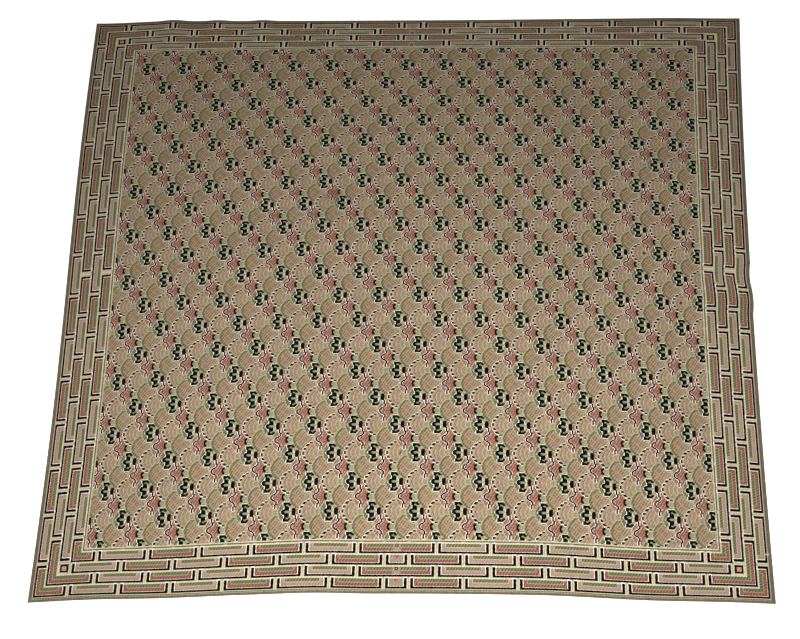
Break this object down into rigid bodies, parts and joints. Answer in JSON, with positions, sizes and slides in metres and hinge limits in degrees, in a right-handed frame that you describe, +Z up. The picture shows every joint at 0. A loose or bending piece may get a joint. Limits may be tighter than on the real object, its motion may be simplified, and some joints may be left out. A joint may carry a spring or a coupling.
{
  "type": "needlework rug",
  "caption": "Large rectangular needlework rug lying flat, with a border of staggered bars around a field of overlapping scales, and a turned hem.",
  "frame": {"origin": "middle of the rug's box, on the surface it lies on", "axes": "+Z up out of the stitched face, +Y along the rug towards its far end, +X across it"},
  "size_m": [3.56, 3.618, 0.014],
  "materials": {
    "wool": "matte wool cross stitch"
  },
  "bodies": {
    "root": {"rug": "wool"}
  },
  "joints": []
}
